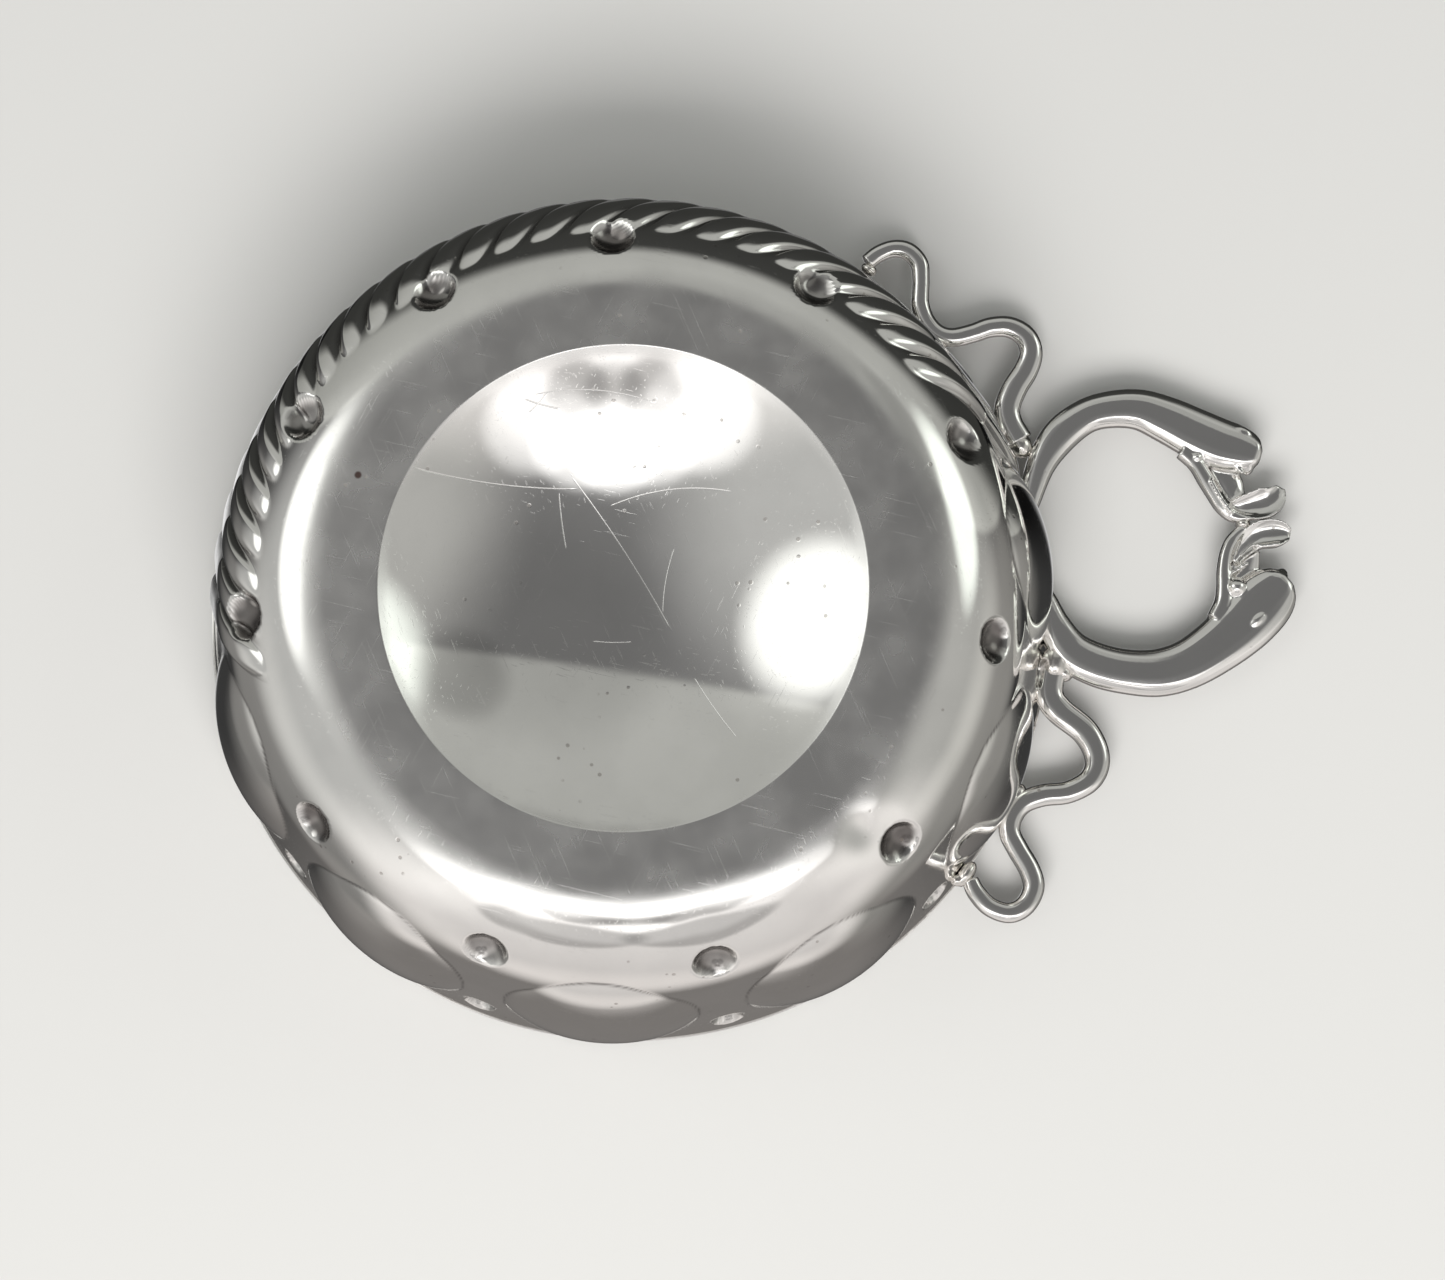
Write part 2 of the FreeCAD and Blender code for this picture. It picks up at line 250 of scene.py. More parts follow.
class Shader:
    """Small helper that adds nodes to one material."""

    def __init__(self, name):
        self.material, self.nodes, self.link = shader_nodes(name)
        self.place = self.nodes.new("ShaderNodeTexCoord").outputs["Object"]

    def feed(self, socket, value):
        """Put a number, a colour or another node's output on a socket."""
        if isinstance(value, bpy.types.NodeSocket):
            self.link(value, socket)
        elif value is not None:
            socket.default_value = value

    def math(self, operation, first, second=None):
        """One or two values through a math node."""
        node = self.nodes.new("ShaderNodeMath")
        node.operation = operation
        self.feed(node.inputs[0], first)
        self.feed(node.inputs[1], second)
        return node.outputs[0]

    def total(self, *values):
        """Sum of several values."""
        result = values[0]
        for value in values[1:]:
            result = self.math("ADD", result, value)
        return result

    def times(self, first, second):
        """Product of two values."""
        return self.math("MULTIPLY", first, second)

    def ramp(self, value, low, high, out_low=0.0, out_high=1.0):
        """Smooth rise from out_low where the value is low to out_high where it is high."""
        node = self.nodes.new("ShaderNodeMapRange")
        node.interpolation_type = "SMOOTHSTEP"
        for key, entry in zip(("Value", "From Min", "From Max", "To Min", "To Max"),
                              (value, low, high, out_low, out_high)):
            self.feed(node.inputs[key], entry)
        return node.outputs["Result"]

    def mapped(self, turn, scale, shift):
        """Coordinates turned by degrees about the vertical, then stretched and shifted."""
        node = self.nodes.new("ShaderNodeMapping")
        node.vector_type = "POINT"
        rotate = self.nodes.new("ShaderNodeVectorRotate")
        rotate.rotation_type = "Z_AXIS"
        self.feed(rotate.inputs["Vector"], self.place)
        self.feed(rotate.inputs["Angle"], math.radians(turn))
        self.feed(node.inputs["Vector"], rotate.outputs[0])
        self.feed(node.inputs["Scale"], scale)
        self.feed(node.inputs["Location"], shift)
        return node.outputs[0]

    def noise(self, scale, detail, where=None):
        """Cloudy values from 0 to 1; where is the place if it is not that on the part."""
        node = self.nodes.new("ShaderNodeTexNoise")
        self.feed(node.inputs["Vector"], where or self.place)
        self.feed(node.inputs["Scale"], scale)
        self.feed(node.inputs["Detail"], detail)
        return node.outputs["Fac"]

    def scratches(self, turn, across, along, keep, shift):
        """Fine straight scratches in one direction: 1 on a scratch, 0 beside it."""
        lines = self.noise(1.0, 0.0, self.mapped(turn, (across, along, across), shift))
        first, second, gone = SCRATCH_BAND
        near_side = self.ramp(lines, keep, keep + first)
        far_side = self.ramp(lines, keep + gone, keep + second)
        return self.times(near_side, far_side)

    def gap_to(self, point):
        """Distance from a point given in millimetres."""
        node = self.nodes.new("ShaderNodeVectorMath")
        node.operation = "DISTANCE"
        self.feed(node.inputs[0], self.place)
        self.feed(node.inputs[1], tuple(c * MM for c in point))
        return node.outputs["Value"]

    def long_scratch(self, start, end, bow, width):
        """One long scratch in the dome between two points, mm; it is an arc that rises by bow."""
        first, last = np.array(start, float), np.array(end, float)
        chord = last - first
        length = np.linalg.norm(chord)
        middle = (first + last) / 2
        aside = np.array([-chord[1], chord[0]]) / length
        radius = length ** 2 / (8 * abs(bow)) + abs(bow) / 2
        centre = middle - aside * math.copysign(radius - abs(bow), bow)
        level = DOME_RISE * (1 - (middle @ middle) / DOME_RADIUS ** 2)
        off = self.math("SUBTRACT", self.flat_gap(centre), radius * MM)
        line = self.ramp(self.math("ABSOLUTE", off), width * MM, 0.35 * width * MM)
        within = self.ramp(self.gap_to((*middle, level)), length / 2 * MM, 0.42 * length * MM)
        return self.times(line, within)

    def flat_gap(self, centre):
        """Distance from an upright line through x and y in millimetres."""
        across, along, _ = self.split_place()
        x = self.math("SUBTRACT", across, float(centre[0]) * MM)
        y = self.math("SUBTRACT", along, float(centre[1]) * MM)
        return self.math("SQRT", self.math("ADD", self.times(x, x), self.times(y, y)))

    def split_place(self):
        """The x, y and z of the place on the part."""
        split = self.nodes.new("ShaderNodeSeparateXYZ")
        self.feed(split.inputs[0], self.place)
        return split.outputs

    def mix(self, factor, first, second):
        """Colour between two, by the factor."""
        node = self.nodes.new("ShaderNodeMix")
        node.data_type = "RGBA"
        self.feed(node.inputs[0], factor)
        self.feed(node.inputs[6], first)
        self.feed(node.inputs[7], second)
        return node.outputs[2]


# long scratches in the dome, mm: start, end, bow and width
LONG_SCRATCHES = [
    ((-18.4, -14.8), (-2.6, -10.6), 0.5, 0.075),
    ((-3.2, -11.9), (3.9, 4.4), -0.4, 0.06),
    ((-4.6, -10.6), (-4.8, -5.0), 0.1, 0.05),
    ((-0.1, -8.5), (12.0, -7.7), -1.0, 0.07),
    ((5.5, -3.7), (3.3, 2.5), 0.3, 0.05),
    ((5.2, 9.0), (8.4, 15.9), 0.15, 0.05),
    ((-3.8, 4.0), (0.0, 4.7), 0.1, 0.04),
    ((-5.7, -19.8), (5.9, -17.3), -0.9, 0.05),
    ((-6.4, -19.6), (-3.1, -18.2), 0.1, 0.08),
    ((-6.2, -18.3), (-4.2, -19.8), 0.1, 0.08),
]
# fine scratches: turn in degrees, noise scale across and along, value where a scratch begins, shift
FINE_SCRATCHES = [
    (14, 6200, 120, 0.76, (3, 1, 0)),
    (-37, 7400, 150, 0.775, (7, 5, 0)),
    (67, 6700, 140, 0.775, (1, 9, 0)),
]
POLISHED = (0.93, 0.915, 0.89, 1)
SOLDER_GREY = (0.86, 0.83, 0.79, 1)
# tarnish colour, also used as painted shade that darkens beads, grooves, creases and inner corners
TARNISH_AND_SHADE_BROWN = (0.10, 0.085, 0.08, 1)
PIT_BROWN = (0.30, 0.26, 0.23, 1)
SPOT_BROWN = (0.13, 0.045, 0.03, 1)
SPOT = (-23.1, -14.7, 0.0)    # brown fleck on the foot ring, mm
SPOT_SIZE = (0.00082, 0.0006)    # metres from it: clean metal at the first, the fleck at the second
SPOT_RAGGED = 0.0006             # unevenness of its edge, metres
WORN_HEIGHT = (0.0007, 0.00005)  # metres above the standing plane: unworn at the first, worn at the second
HAZE_SCALE = 170.0               # scales of the clouds, the pits' cells and the grain, per metre
PIT_SCALE = 620.0
GRAIN_SCALE = 900.0
RELIEF = 0.00002                 # depth of the bump from scratches, pits and grain, metres


def scratch_field(m, marks, worn_ring, dome):
    """Strength of the scratches, 0 to 1; the standing ring has more of the fine ones."""
    fine = None
    for row in FINE_SCRATCHES:
        layer = m.scratches(*row)
        fine = layer if fine is None else m.math("MAXIMUM", fine, layer)
    scratch = m.times(fine, m.ramp(worn_ring, 0.0, 1.0, 0.10 * marks, 0.15 * marks))
    if dome:
        for row in LONG_SCRATCHES:
            scratch = m.math("MAXIMUM", scratch, m.long_scratch(*row))
    return scratch


def pit_field(m, haze):
    """1 in the small pits, which lie in the cloudier stretches of the metal."""
    cells = m.nodes.new("ShaderNodeTexVoronoi")
    m.feed(cells.inputs["Vector"], m.place)
    m.feed(cells.inputs["Scale"], PIT_SCALE)
    return m.times(m.ramp(cells.outputs["Distance"], 0.16, 0.08), m.ramp(haze, 0.55, 0.62))


def tarnish_and_shade_field(m, haze):
    """Tarnish and painted shade from the piece's own attribute and from narrow inner corners, uneven with
    the haze.
    """
    tarnish_and_shade_attribute = m.nodes.new("ShaderNodeAttribute")
    tarnish_and_shade_attribute.attribute_name = "tarnish_and_shade"
    bent = m.nodes.new("ShaderNodeNewGeometry")
    # painted shade with tarnish: narrow inner corners darkened by their pointiness
    corners = m.ramp(bent.outputs["Pointiness"], 0.485, 0.43)
    return m.times(m.math("MAXIMUM", tarnish_and_shade_attribute.outputs["Fac"], corners), m.ramp(haze, 0.30, 0.62, 0.65, 1.0))


def silver(name, gloss, marks, tint=POLISHED, grain=0.0, dome=False):
    """Worn polished silver: fine scratches, pits, a soft haze, and darker tarnish in the hollows that is
    also painted shade.

    gloss is the roughness of clean metal, marks the strength of its fine scratches and grain that of its
    unevenness; dome adds what only the cup has: long scratches, the worn standing ring and the brown fleck.
    """
    m = Shader(name)
    haze = m.noise(HAZE_SCALE, 3.0)
    worn_ring = m.ramp(m.split_place()[2], *WORN_HEIGHT) if dome else 0.0
    scratch = scratch_field(m, marks, worn_ring, dome)
    pits = pit_field(m, haze)
    tarnish_and_shade = tarnish_and_shade_field(m, haze)
    # colour: slightly duller clouds, then the share that each kind of stain covers; the tarnish brown is
    # also painted shade in hollows, grooves and creases
    colour = m.mix(m.ramp(haze, 0.35, 0.68), tint, tuple(0.955 * c for c in tint[:3]) + (1,))
    # painted shade with real tarnish: hollows, flute grooves, boss creases and corners turned dark brown
    colour = m.mix(m.times(tarnish_and_shade, 0.88), colour, TARNISH_AND_SHADE_BROWN)
    colour = m.mix(m.times(pits, 0.5), colour, PIT_BROWN)
    if dome:
        from_spot = m.math("ADD", m.gap_to(SPOT), m.times(haze, SPOT_RAGGED))
        colour = m.mix(m.times(m.ramp(from_spot, *SPOT_SIZE), 0.85), colour, SPOT_BROWN)
    # roughness of the metal and what each kind of wear adds
    rough = m.total(m.ramp(haze, 0.3, 0.7, gloss * 0.75, gloss * 1.35),
                    m.times(scratch, 0.22),
                    m.times(pits, 0.2),
                    m.times(worn_ring, m.ramp(haze, 0.3, 0.7, 0.14, 0.22)),
                    m.times(tarnish_and_shade, 0.14))
    # bump: scratches and pits sink in, grain stands out
    height = m.total(m.times(scratch, -0.8),
                     m.times(pits, -0.6),
                     m.times(m.noise(GRAIN_SCALE, 2.0), 0.05 + grain))
    bump = m.nodes.new("ShaderNodeBump")
    m.feed(bump.inputs["Height"], height)
    m.feed(bump.inputs["Distance"], RELIEF)
    m.feed(bump.inputs["Strength"], 0.6)
    shader = m.nodes.new("ShaderNodeBsdfPrincipled")
    m.feed(shader.inputs["Base Color"], colour)
    m.feed(shader.inputs["Metallic"], 1.0)
    m.feed(shader.inputs["Roughness"], rough)
    m.feed(shader.inputs["Normal"], bump.outputs[0])
    output = m.nodes.new("ShaderNodeOutputMaterial")
    m.link(shader.outputs[0], output.inputs["Surface"])
    return m.material


SILVER = silver("silver_sheet", 0.055, 1.0, dome=True)
CAST = silver("cast_silver", 0.09, 0.25, grain=0.35)
SOLDER = silver("silver_solder", 0.14, 0.2, SOLDER_GREY, grain=1.2)
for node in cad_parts.values():
    node.data.materials.clear()
    node.data.materials.append(SILVER)


# ------------------------------------------------------------------ bowl, sizes in millimetres
WALL = 0.9                    # thickness of the raised sheet
HEIGHT = 26.0                 # from the standing plane to the lip
FOOT_RADIUS = 28.2            # outer edge of the flat ring that the cup stands on
SHOULDER_RADIUS = 10.7        # bend between the foot and the side wall
WALL_ANGLE = math.radians(79.5)    # the side wall's rise
LIP_FLARE = 0.2               # how far the lip turns out
LIP_HEIGHT = 2.6              # over this height
ROLL_HEIGHT = 0.32            # height of the lip's rounded edge
DOME_EDGE_ROUND = 0.5         # fillet between the dome and the foot ring
SECTORS = 11                  # stretches of the wall between two beads
SECTOR = 360.0 / SECTORS
BOSS_COUNT = 6                # sectors that hold a boss; the flutes fill the others
BOSS_WIDTH = 20.2
BOSS_BULGE = 1.8
BOSS_FULLNESS = 0.85          # below 1 a boss is flatter on top and steeper at its edge
NO_BOSS = -5.0                # height far from any boss
BOSS_RUN = 23.0               # a boss's middle, measured up the sheet from the foot
BOSS_REACH = 12.0             # from its middle down to the crease
BOSS_HEAD_REACH = 10.0        # and up to the lip
FLUTE_COUNT = 26
FLUTE_START = (BOSS_COUNT - 0.5) * SECTOR
FLUTE_PITCH = (360.0 - BOSS_COUNT * SECTOR) / FLUTE_COUNT
FLUTE_DEPTH = 0.85
FLUTE_LEAN = 13.0             # turn of a flute over the whole height, degrees
FLUTE_CURL = 7.5              # extra turn of a flute where it runs over the shoulder, degrees
FLUTE_CURL_START = 5.0        # which starts this far from the foot
FLUTE_FADE = 4.2              # length of a flute's fading end at the foot
FLUTE_HEAD_FADE = 0.8 * FLUTE_FADE    # and at the lip
FLUTE_FOOT_SLOPE = 38.0       # a flute starts where the shoulder rises at this slope
FLUTE_HEAD = 24.2             # and ends at this height
FLUTE_FULLNESS = 0.10         # broadens a flute's crown and steepens its sides
LEAN_FADE = 26.0              # degrees over which the columns' lean fades among the bosses
CREASE_ROUND = 0.06           # rounding of the creases round the bosses and between the flutes
BEAD_WIDTH = 4.5              # round hollows on the shoulder
BEAD_DEPTH = 1.35
PINCH_WIDTH = 2.8             # small hollows under the lip between two bosses
PINCH_DEPTH = 0.8
PINCH_BELOW_LIP = 3.4
PINCH_INSET = 0.5             # the balls that sink them stand this much closer to the axis
# hand spacing of the beads, degrees off an even one, and the shoulder's rise at each, degrees
BEAD_DRIFT = [0.7, 2.9, 3.8, 5.8, 5.4, 5.7, 5.2, 1.7, -0.7, 0.6, 1.8]
BEAD_SLOPES = [46.0, 44.5, 50.9, 52.6, 55.3, 48.4, 38.8, 34.1, 34.8, 36.7, 45.3]
# knocks: angle, radius, size and depth
DENTS = [
    (54.7, 32.4, 1.9, 0.30),
    (50.5, 34.0, 1.2, 0.10),
    (118.0, 33.2, 2.6, 0.07),
    (86.0, 33.6, 2.0, 0.05),
    (36.0, 31.0, 2.4, 0.05),
]
DENTS_BELOW = 12.0            # the knocks are in the shoulder, under this height
# unevenness of the sheet: waves round the cup, waves per millimetre up it (radians), phase, height
WOBBLE = [(3, 0.21, 0.4, 0.030), (5, 0.34, 1.9, 0.022), (8, 0.55, 3.1, 0.012), (13, 0.80, 4.4, 0.006)]
WOBBLE_RADII = (20.0, 30.0)   # none within the first, so that the dome is even, and all beyond the second
CREASE_SHADE_HEIGHT = 0.07            # tarnish and painted shade lie where a boss is about this high over the sheet or less

SHOULDER_TOP_RADIUS = FOOT_RADIUS + SHOULDER_RADIUS * math.sin(WALL_ANGLE)
SHOULDER_TOP = SHOULDER_RADIUS * (1 - math.cos(WALL_ANGLE))
RIM_RADIUS = SHOULDER_TOP_RADIUS + (HEIGHT - SHOULDER_TOP) / math.tan(WALL_ANGLE) + LIP_FLARE
DOME_CURVE = (DOME_RADIUS ** 2 + DOME_RISE ** 2) / (2 * DOME_RISE)


def smooth_step(low, high, value):
    """0 below low, 1 above high and a smooth rise between."""
    t = np.clip((value - low) / (high - low), 0.0, 1.0)
    return t * t * (3 - 2 * t)


def soft_max(a, b, width):
    """The greater of two values, with the corner between them rounded over that width."""
    h = np.clip(0.5 + 0.5 * (a - b) / width, 0.0, 1.0)
    return b + (a - b) * h + width * h * (1 - h)


def uneven(angle):
    """Angle of hand-spaced work for the angle of even work, degrees."""
    marks = (np.arange(-1, SECTORS + 2) + 0.5) * SECTOR
    drift = [BEAD_DRIFT[-1]] + BEAD_DRIFT + BEAD_DRIFT[:2]
    return angle + np.interp(angle, marks, drift)


def wall_place(z):
    """Radius of the straight side wall at that height."""
    return SHOULDER_TOP_RADIUS + (z - SHOULDER_TOP) / math.tan(WALL_ANGLE)


def wall_run(z):
    """Length of the profile from the foot's outer edge to that height of the side wall."""
    return SHOULDER_RADIUS * WALL_ANGLE + (z - SHOULDER_TOP) / math.sin(WALL_ANGLE)


def profile_rows(dome, edge, foot, shoulder, wall, lip):
    """Rows of the outer profile, with a count for each stretch.

    A row holds radius, height, outward normal (radial, vertical) and the length from the foot's outer edge,
    which is negative inside that edge.
    """
    rows = []
    centre_z = DOME_RISE - DOME_CURVE
    rho = DOME_EDGE_ROUND
    edge_r = math.sqrt((DOME_CURVE + rho) ** 2 - (rho - centre_z) ** 2)
    tilt = math.atan2(edge_r, rho - centre_z)
    for k in range(1, dome + 1):
        a = tilt * k / dome
        rows.append((DOME_CURVE * math.sin(a), centre_z + DOME_CURVE * math.cos(a),
                     -math.sin(a), -math.cos(a), 0))
    for k in range(1, edge + 1):
        a = tilt * (1 - k / edge)
        rows.append((edge_r - rho * math.sin(a), rho - rho * math.cos(a), -math.sin(a), -math.cos(a), 0))
    for k in range(1, foot + 1):
        rows.append((edge_r + (FOOT_RADIUS - edge_r) * k / foot, 0.0, 0.0, -1.0, 0))
    for k in range(1, shoulder + 1):
        a = WALL_ANGLE * k / shoulder
        rows.append((FOOT_RADIUS + SHOULDER_RADIUS * math.sin(a), SHOULDER_RADIUS * (1 - math.cos(a)),
                     math.sin(a), -math.cos(a), SHOULDER_RADIUS * a))
    side = (math.sin(WALL_ANGLE), -math.cos(WALL_ANGLE))
    lip_foot = HEIGHT - LIP_HEIGHT
    for k in range(1, wall + 1):
        z = SHOULDER_TOP + (lip_foot - SHOULDER_TOP) * k / wall
        rows.append((wall_place(z), z) + side + (wall_run(z),))
    for k in range(1, lip + 1):
        t = k / lip
        z = lip_foot + LIP_HEIGHT * t
        rows.append((wall_place(z) + LIP_FLARE * t * t, z) + side + (wall_run(z),))
    rows = np.array(rows)
    inside = rows[:, 4] == 0
    rows[inside, 4] = rows[inside, 0] - FOOT_RADIUS
    return rows


def column_angles(per_flute, per_sector):
    """Angle of each column before the lean, degrees, and how much of the lean it takes."""
    bosses = -SECTOR / 2 + np.arange(BOSS_COUNT * per_sector) * SECTOR / per_sector
    flutes = FLUTE_START + np.arange(FLUTE_COUNT * per_flute) * FLUTE_PITCH / per_flute
    angles = np.concatenate([bosses, flutes])
    from_end = np.minimum(angles + SECTOR / 2, FLUTE_START - angles)
    lean = np.where(angles < FLUTE_START, 1 - smooth_step(0.0, LEAN_FADE, from_end), 1.0)
    return angles, lean


def boss_height_field(angle, run):
    """Height of the nearest boss over the sheet, below 0 outside its oval edge."""
    out = np.full(angle.shape, NO_BOSS)
    reach = np.where(run < BOSS_RUN, BOSS_REACH, BOSS_HEAD_REACH)
    for k in range(BOSS_COUNT):
        aside = (angle - float(uneven(k * SECTOR)) + 180) % 360 - 180
        across = np.radians(aside) * RIM_RADIUS / (BOSS_WIDTH / 2)
        inside = 1 - across ** 2 - ((run - BOSS_RUN) / reach) ** 2
        out = np.maximum(out, BOSS_BULGE * np.sign(inside) * np.abs(inside) ** BOSS_FULLNESS)
    return out


def ball_depth_field(points, normals, centres, radius):
    """How far each point moves along its normal to the far side of a ball, 0 where no ball is near."""
    out = np.zeros(len(points))
    for centre in centres:
        to = centre - points
        along = np.einsum("ij,ij->i", to, normals)
        square = radius ** 2 - (np.einsum("ij,ij->i", to, to) - along ** 2)
        hit = square > 0
        half = np.sqrt(np.maximum(square, 0))
        covered = hit & (along - half < 0) & (along + half > 0)
        out = np.minimum(out, np.where(covered, along - half, 0))
    return out


def round_place(radius, angle, z):
    """Point at that radius and angle about the bowl's axis."""
    a = math.radians(angle)
    return np.array([radius * math.cos(a), radius * math.sin(a), z])


def ball_radius(width, depth):
    """Radius of the ball that sinks a hollow of that width and depth."""
    return (width ** 2 / 4 + depth ** 2) / (2 * depth)


def bead_centres(radius):
    """Middles of the balls that sink the beads."""
    reach = SHOULDER_RADIUS + radius - BEAD_DEPTH
    centres = []
    for i, slope in enumerate(BEAD_SLOPES):
        a = math.radians(slope)
        centres.append(round_place(FOOT_RADIUS + reach * math.sin(a), uneven((i + 0.5) * SECTOR),
                                   SHOULDER_RADIUS - reach * math.cos(a)))
    return centres


def pinch_centres(radius):
    """Middles of the balls that sink the small hollows under the lip."""
    z = HEIGHT - PINCH_BELOW_LIP
    out = radius - PINCH_DEPTH
    across = wall_place(z) + out * math.sin(WALL_ANGLE) - PINCH_INSET
    return [round_place(across, uneven((i - 0.5) * SECTOR), z - out * math.cos(WALL_ANGLE))
            for i in range(BOSS_COUNT)]


def sheet_grid(rows, angles, lean):
    """Angle about the axis at each row and column, radians, and the plain sheet's points and normals."""
    z = rows[:, 1][:, None]
    curl_end = SHOULDER_RADIUS * WALL_ANGLE
    curl = np.clip((rows[:, 4][:, None] - FLUTE_CURL_START) / (curl_end - FLUTE_CURL_START), 0, 1) - 1
    turn = FLUTE_LEAN * (z / HEIGHT - 0.5) + FLUTE_CURL * curl
    theta = np.radians(uneven(angles)[None, :] + lean[None, :] * turn)
    cos, sin = np.cos(theta), np.sin(theta)
    r, out, up = rows[:, 0][:, None], rows[:, 2][:, None], rows[:, 3][:, None]
    points = np.stack([r * cos, r * sin, np.broadcast_to(z, cos.shape)], axis=2)
    normals = np.stack([out * cos, out * sin, np.broadcast_to(up, cos.shape)], axis=2)
    return theta, points.reshape(-1, 3), normals.reshape(-1, 3)


def flute_field(run, angles):
    """Height of the flutes over the sheet, and how deep each place lies in a groove, 0 to 1.

    The flutes are rounded ridges with a sharp groove between two, and their ends fade like fingertips.
    """
    in_flutes = (angles >= FLUTE_START)[None, :]
    phase = np.clip((angles - FLUTE_START) / FLUTE_PITCH, 0, None)[None, :] % 1.0
    foot_run = SHOULDER_RADIUS * math.radians(FLUTE_FOOT_SLOPE)
    from_foot = (run - foot_run) / FLUTE_FADE
    from_head = (wall_run(FLUTE_HEAD) - run) / FLUTE_HEAD_FADE
    into = np.minimum(from_foot, from_head)[:, None]
    end = np.clip(1 - into, 0, None)
    across = 2 * (phase + FLUTE_FULLNESS * np.sin(2 * np.pi * phase)) - 1
    arch = 1 - across ** 2 - end ** 2
    high = FLUTE_DEPTH * soft_max(arch, np.zeros(arch.shape), CREASE_ROUND)
    high = np.where(in_flutes & (into > -0.5), high, 0.0)
    high = np.where(into > 0, high, high * np.clip(1 + 2 * into, 0, 1))
    groove = smooth_step(0.55, 1.0, np.abs(across)) * np.clip(into * 1.5, 0, 1)
    return high, np.where(in_flutes, groove, 0)


def dents(points):
    """Soft knocks in the shoulder and the foot."""
    out = np.zeros(len(points))
    for angle, radius, size, deep in DENTS:
        centre = round_place(radius, angle, 0)
        flat = np.hypot(points[:, 0] - centre[0], points[:, 1] - centre[1])
        out -= np.where(points[:, 2] < DENTS_BELOW, deep * np.exp(-(flat / size) ** 2), 0)
    return out


def hand_wobble(theta, run):
    """Slow unevenness of hand-raised sheet."""
    out = np.zeros(theta.shape)
    for turns, waves, phase, high in WOBBLE:
        out += high * np.sin(turns * theta + phase) * np.cos(waves * run + 2.1 * phase)
    return out


def raised_rows(rows, angles, lean):
    """Points of the outside at each row and column, tarnish and painted shade as their fourth value, and
    the normals.
    """
    theta, points, normals = sheet_grid(rows, angles, lean)
    shape = theta.shape
    run = rows[:, 4]
    flutes, groove = flute_field(run, angles)
    bosses = boss_height_field(np.degrees(theta), run[:, None])
    raised = np.where(bosses < -1.0, flutes, soft_max(bosses, flutes, CREASE_ROUND))
    ball = ball_radius(BEAD_WIDTH, BEAD_DEPTH)
    beads = ball_depth_field(points, normals, bead_centres(ball), ball).reshape(shape)
    ball = ball_radius(PINCH_WIDTH, PINCH_DEPTH)
    pinches = ball_depth_field(points, normals, pinch_centres(ball), ball).reshape(shape)
    wobble = hand_wobble(theta, np.broadcast_to(run[:, None], shape))
    wobble = wobble * smooth_step(*WOBBLE_RADII, rows[:, 0][:, None])
    total = raised + beads + pinches * (bosses < 0.6) + dents(points).reshape(shape) + wobble
    moved = points + normals * total.reshape(-1)[:, None]
    crease = np.exp(-(bosses / CREASE_SHADE_HEIGHT) ** 2) * (angles < FLUTE_START)[None, :]
    # painted shade with real tarnish: darker in the beads, the grooves between flutes, the creases round
    # the bosses and the pinches
    dark = smooth_step(0.10, 0.75, -beads) + 0.75 * groove + 0.8 * crease + 0.5 * (pinches < -0.3)
    moved = np.concatenate([moved, np.clip(dark, 0, 1).reshape(-1, 1)], axis=1)
    normals = np.concatenate([normals, np.zeros((len(normals), 1))], axis=1)
    return moved.reshape(shape + (4,)), normals.reshape(shape + (4,))


def stitched(rings):
    """Faces between consecutive rings of vertices.

    A ring is a start index and a count. One count of two is a multiple of the other, or 1 at a pole.
    """
    faces = []
    for (a0, na), (b0, nb) in zip(rings, rings[1:]):
        if na == nb:
            i = np.arange(na)
            j = (i + 1) % na
            faces += np.stack([a0 + i, a0 + j, b0 + j, b0 + i], axis=1).tolist()
        elif nb == 1:
            faces += [(a0 + i, a0 + (i + 1) % na, b0) for i in range(na)]
        elif na == 1:
            faces += [(a0, b0 + (i + 1) % nb, b0 + i) for i in range(nb)]
        elif nb > na:
            k = nb // na
            for i in range(na):
                mid = k // 2
                for m in range(k):
                    corner = a0 + (i if m < mid else (i + 1) % na)
                    faces.append((corner, b0 + (k * i + m + 1) % nb, b0 + k * i + m))
                faces.append((a0 + i, a0 + (i + 1) % na, b0 + k * i + mid))
        else:
            k = na // nb
            for i in range(nb):
                mid = k // 2
                for m in range(k):
                    corner = b0 + (i if m < mid else (i + 1) % nb)
                    faces.append((a0 + k * i + m, a0 + (k * i + m + 1) % na, corner))
                faces.append((b0 + i, a0 + k * i + mid, b0 + (i + 1) % nb))
    return faces


def new_piece(name, vertices, faces, material, slot_name):
    """Mesh object from millimetres, smooth shaded, riding on the part."""
    mesh = bpy.data.meshes.new(name)
    mesh.from_pydata((np.asarray(vertices) * MM).tolist(), [], faces)
    mesh.materials.append(material)
    mesh.shade_smooth()
    piece = bpy.data.objects.new(name, mesh)
    bpy.context.scene.collection.objects.link(piece)
    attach(piece, "root")
    return piece


COLUMNS = (20, 104)           # columns in each flute, and in each sector of the bosses' half
# rows on the dome, its edge, the foot, the shoulder, the wall and the lip
OUTER_ROWS = (26, 8, 6, 62, 52, 10)
INNER_ROWS = (14, 5, 4, 34, 26, 6)
ROLL_ROWS = 6                 # rows over the lip
DOME_ROWS = 32                # rows of the dome's outside that need only every fourth column
INNER_DOME_ROWS = 8           # and of its inside, every eighth


